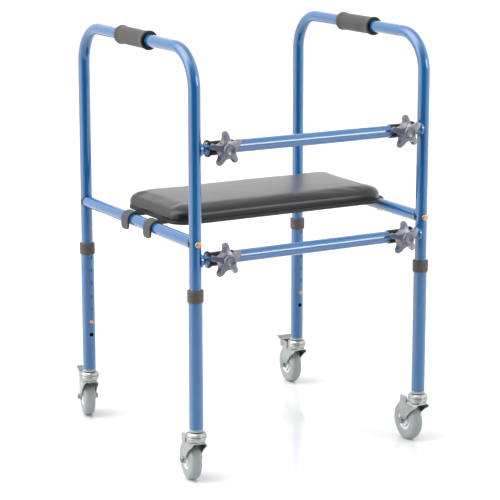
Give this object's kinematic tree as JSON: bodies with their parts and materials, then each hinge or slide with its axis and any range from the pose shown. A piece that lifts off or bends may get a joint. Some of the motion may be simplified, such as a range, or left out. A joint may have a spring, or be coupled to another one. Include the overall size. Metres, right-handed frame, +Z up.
{
  "type": "walking frame",
  "caption": "Height-adjustable walking frame of bent tube, with braked swivel casters, star-knob crossbars and a hook-on padded seat.",
  "frame": {"origin": "on the floor, under the middle of the whole object's box", "axes": "+Z up, +X to the right, +Y from the crossbars (front) to the open side where the user stands (back)"},
  "size_m": [0.5114, 0.5414, 0.7815],
  "materials": {
    "blue_paint": "glossy blue enamel",
    "light_blue_paint": "glossy light blue enamel",
    "grip_foam": "matt foam",
    "black_plastic": "matt",
    "collar_plastic": "satin",
    "knob_plastic": "semi-gloss",
    "brass": "polished",
    "zinc_steel": "bright zinc plated",
    "grey_tyre": "matt grey rubber",
    "hub_plastic": "satin",
    "board_black": "black lacquer",
    "black_vinyl": "semi-gloss grained vinyl",
    "hook_black": "satin"
  },
  "bodies": {
    "frame": {"left_frame_tube": "blue_paint", "left_grip": "grip_foam", "left_side_tube": "blue_paint", "right_frame_tube": "blue_paint", "right_grip": "grip_foam", "right_side_tube": "blue_paint", "side_tube_plugs": "black_plastic", "side_tube_bolts": "brass", "crossbar_sockets": "blue_paint", "crossbar_rings": "black_plastic", "crossbar_sleeves": "black_plastic", "clamp_nuts": "zinc_steel", "upper_crossbar": "blue_paint", "lower_crossbar": "blue_paint"},
    "upper_left_knob": {"upper_left_knob": "knob_plastic", "upper_left_knob_stud": "zinc_steel"},
    "upper_right_knob": {"upper_right_knob": "knob_plastic", "upper_right_knob_stud": "zinc_steel"},
    "lower_left_knob": {"lower_left_knob": "knob_plastic", "lower_left_knob_stud": "zinc_steel"},
    "lower_right_knob": {"lower_right_knob": "knob_plastic", "lower_right_knob_stud": "zinc_steel"},
    "front_left_leg": {"front_left_lower_leg": "light_blue_paint", "front_left_collar": "collar_plastic", "front_left_caster_stem": "zinc_steel"},
    "front_left_button": {"front_left_snap_button": "brass"},
    "front_left_swivel": {"front_left_fork": "zinc_steel", "front_left_axle": "zinc_steel"},
    "front_left_wheel": {"front_left_tyre": "grey_tyre", "front_left_hub": "hub_plastic"},
    "front_right_leg": {"front_right_lower_leg": "light_blue_paint", "front_right_collar": "collar_plastic", "front_right_caster_stem": "zinc_steel"},
    "front_right_button": {"front_right_snap_button": "brass"},
    "front_right_swivel": {"front_right_fork": "zinc_steel", "front_right_axle": "zinc_steel"},
    "front_right_wheel": {"front_right_tyre": "grey_tyre", "front_right_hub": "hub_plastic"},
    "rear_left_leg": {"rear_left_lower_leg": "light_blue_paint", "rear_left_collar": "collar_plastic", "rear_left_caster_stem": "zinc_steel"},
    "rear_left_button": {"rear_left_snap_button": "brass"},
    "rear_left_swivel": {"rear_left_fork": "zinc_steel", "rear_left_axle": "zinc_steel"},
    "rear_left_wheel": {"rear_left_tyre": "grey_tyre", "rear_left_hub": "hub_plastic"},
    "rear_left_pedal": {"rear_left_brake_pedal": "zinc_steel"},
    "rear_right_leg": {"rear_right_lower_leg": "light_blue_paint", "rear_right_collar": "collar_plastic", "rear_right_caster_stem": "zinc_steel"},
    "rear_right_button": {"rear_right_snap_button": "brass"},
    "rear_right_swivel": {"rear_right_fork": "zinc_steel", "rear_right_axle": "zinc_steel"},
    "rear_right_wheel": {"rear_right_tyre": "grey_tyre", "rear_right_hub": "hub_plastic"},
    "rear_right_pedal": {"rear_right_brake_pedal": "zinc_steel"},
    "seat": {"seat_board": "board_black", "seat_cushion": "black_vinyl", "seat_hooks": "hook_black", "seat_hook_screws": "zinc_steel"}
  },
  "joints": [
    {"name": "upper_left_knob_turn", "type": "hinge", "parent": "frame", "child": "upper_left_knob", "pos_m": [-0.1838, -0.23475, 0.595], "axis": [0, -1, 0], "continuous": true},
    {"name": "upper_right_knob_turn", "type": "hinge", "parent": "frame", "child": "upper_right_knob", "pos_m": [0.1838, -0.23475, 0.595], "axis": [0, -1, 0], "continuous": true},
    {"name": "lower_left_knob_turn", "type": "hinge", "parent": "frame", "child": "lower_left_knob", "pos_m": [-0.1838, -0.23475, 0.4015], "axis": [0, -1, 0], "continuous": true},
    {"name": "lower_right_knob_turn", "type": "hinge", "parent": "frame", "child": "lower_right_knob", "pos_m": [0.1838, -0.23475, 0.4015], "axis": [0, -1, 0], "continuous": true},
    {"name": "front_left_leg_slide", "type": "slide", "parent": "frame", "child": "front_left_leg", "axis": [0, 0, 1], "range_m": [-0.127, 0.0254], "deforming": ["front_left_snap_button"]},
    {"name": "front_left_button_press", "type": "slide", "parent": "frame", "child": "front_left_button", "axis": [0, -1, 0], "range_m": [0, 0.0036], "stiffness_N_per_m": 1500, "springref_m": -0.002},
    {"name": "front_left_caster_swivel", "type": "hinge", "parent": "front_left_leg", "child": "front_left_swivel", "pos_m": [-0.234, -0.23475, 0.09], "axis": [0, 0, 1], "continuous": true},
    {"name": "front_left_wheel_spin", "type": "hinge", "parent": "front_left_swivel", "child": "front_left_wheel", "pos_m": [-0.22862, -0.20422, 0.0375], "axis": [0.9848, -0.1736, 0], "continuous": true},
    {"name": "front_right_leg_slide", "type": "slide", "parent": "frame", "child": "front_right_leg", "axis": [0, 0, 1], "range_m": [-0.127, 0.0254], "deforming": ["front_right_snap_button"]},
    {"name": "front_right_button_press", "type": "slide", "parent": "frame", "child": "front_right_button", "axis": [0, -1, 0], "range_m": [0, 0.0036], "stiffness_N_per_m": 1500, "springref_m": -0.002},
    {"name": "front_right_caster_swivel", "type": "hinge", "parent": "front_right_leg", "child": "front_right_swivel", "pos_m": [0.234, -0.23475, 0.09], "axis": [0, 0, 1], "continuous": true},
    {"name": "front_right_wheel_spin", "type": "hinge", "parent": "front_right_swivel", "child": "front_right_wheel", "pos_m": [0.23481, -0.20376, 0.0375], "axis": [0.9997, -0.0262, 0], "continuous": true},
    {"name": "rear_left_leg_slide", "type": "slide", "parent": "frame", "child": "rear_left_leg", "axis": [0, 0, 1], "range_m": [-0.127, 0.0254], "deforming": ["rear_left_snap_button"]},
    {"name": "rear_left_button_press", "type": "slide", "parent": "frame", "child": "rear_left_button", "axis": [0, 1, 0], "range_m": [0, 0.0036], "stiffness_N_per_m": 1500, "springref_m": -0.002},
    {"name": "rear_left_caster_swivel", "type": "hinge", "parent": "rear_left_leg", "child": "rear_left_swivel", "pos_m": [-0.234, 0.20225, 0.09], "axis": [0, 0, 1], "continuous": true},
    {"name": "rear_left_wheel_spin", "type": "hinge", "parent": "rear_left_swivel", "child": "rear_left_wheel", "pos_m": [-0.22545, 0.23205, 0.0375], "axis": [0.9613, -0.2756, 0], "continuous": true},
    {"name": "rear_left_brake_press", "type": "hinge", "parent": "rear_left_swivel", "child": "rear_left_pedal", "pos_m": [-0.22573, 0.23109, 0.081], "axis": [0.9613, -0.2756, 0], "range_deg": [-9, 0]},
    {"name": "rear_right_leg_slide", "type": "slide", "parent": "frame", "child": "rear_right_leg", "axis": [0, 0, 1], "range_m": [-0.127, 0.0254], "deforming": ["rear_right_snap_button"]},
    {"name": "rear_right_button_press", "type": "slide", "parent": "frame", "child": "rear_right_button", "axis": [0, 1, 0], "range_m": [0, 0.0036], "stiffness_N_per_m": 1500, "springref_m": -0.002},
    {"name": "rear_right_caster_swivel", "type": "hinge", "parent": "rear_right_leg", "child": "rear_right_swivel", "pos_m": [0.234, 0.20225, 0.09], "axis": [0, 0, 1], "continuous": true},
    {"name": "rear_right_wheel_spin", "type": "hinge", "parent": "rear_right_swivel", "child": "rear_right_wheel", "pos_m": [0.23724, 0.23308, 0.0375], "axis": [0.9945, -0.1045, 0], "continuous": true},
    {"name": "rear_right_brake_press", "type": "hinge", "parent": "rear_right_swivel", "child": "rear_right_pedal", "pos_m": [0.23714, 0.23209, 0.081], "axis": [0.9945, -0.1045, 0], "range_deg": [-9, 0]},
    {"name": "seat_lift", "type": "slide", "parent": "frame", "child": "seat", "axis": [0, 0, 1], "range_m": [0, 0.27]}
  ]
}
